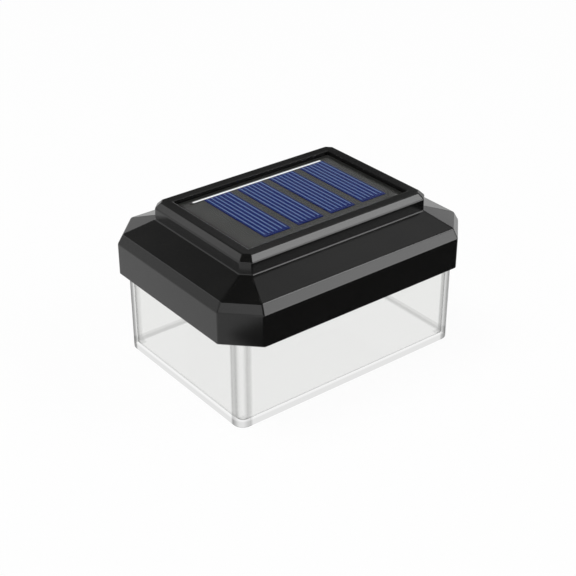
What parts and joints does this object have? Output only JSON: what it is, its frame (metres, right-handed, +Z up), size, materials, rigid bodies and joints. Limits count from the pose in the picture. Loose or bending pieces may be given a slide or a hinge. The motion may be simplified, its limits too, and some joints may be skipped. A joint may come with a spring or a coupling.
{
  "type": "solar fence light",
  "caption": "Rectangular solar fence light: black bevelled cap with a sunk solar panel over a clear open-topped lens box, hooked on a wall bracket.",
  "frame": {"origin": "centre of the lens box's bottom face", "axes": "+Z up, +X along the long side, +Y towards the fence"},
  "size_m": [0.12, 0.091, 0.0668],
  "materials": {
    "cap_plastic": "satin black moulded plastic, lightly textured",
    "panel_board": "black solder mask",
    "clear_laminate": "clear laminate",
    "foam_tape": "foam",
    "solar_cell": "dark blue coated silicon with light fingers",
    "tinned_ribbon": "tinned",
    "white_plastic": "satin",
    "seal_rubber": "matt",
    "clear_plastic": "clear, polished",
    "battery_sleeve": "shrink sleeve",
    "nickel_plate": "nickel plated",
    "steel": "zinc plated",
    "green_board": "solder mask",
    "black_epoxy": "matt",
    "led_epoxy": "clear epoxy",
    "switch_plastic": "satin",
    "bracket_plastic": "satin black moulded plastic",
    "red_sleeve": "insulation",
    "black_sleeve": "insulation"
  },
  "bodies": {
    "head": {"top_cap": "cap_plastic", "panel_adhesive": "foam_tape", "panel_board": "panel_board", "panel_cover": "clear_laminate", "bus_ribbon": "tinned_ribbon", "solar_cell_1": "solar_cell", "solar_cell_2": "solar_cell", "solar_cell_3": "solar_cell", "solar_cell_4": "solar_cell", "base_plate": "white_plastic", "lens_seal": "seal_rubber", "battery": "battery_sleeve", "battery_contact_positive": "nickel_plate", "battery_contact_negative": "nickel_plate", "door_hinge_pin": "steel", "circuit_board": "green_board", "driver_chip": "black_epoxy", "inductor": "black_epoxy", "capacitor": "black_epoxy", "led_1": "led_epoxy", "led_2": "led_epoxy", "switch_body": "steel", "base_screws": "steel", "board_screws": "steel", "panel_lead_red": "red_sleeve", "panel_lead_black": "black_sleeve", "battery_lead_red": "red_sleeve", "battery_lead_black": "black_sleeve"},
    "lens": {"lens_box": "clear_plastic"},
    "bracket": {"wall_bracket": "bracket_plastic"},
    "door": {"battery_door": "white_plastic"},
    "slider": {"switch_slider": "switch_plastic"}
  },
  "joints": [
    {"name": "lens_pull", "type": "slide", "parent": "head", "child": "lens", "axis": [0, 0, -1], "range_m": [0, 0.025]},
    {"name": "bracket_hook", "type": "slide", "parent": "head", "child": "bracket", "axis": [0, 0, -1], "range_m": [0, 0.012]},
    {"name": "door_hinge", "type": "hinge", "parent": "head", "child": "door", "pos_m": [0, 0.0262, 0.0422], "axis": [1, 0, 0], "range_deg": [0, 95]},
    {"name": "switch_slide", "type": "slide", "parent": "head", "child": "slider", "axis": [1, 0, 0], "range_m": [0, 0.002]}
  ]
}
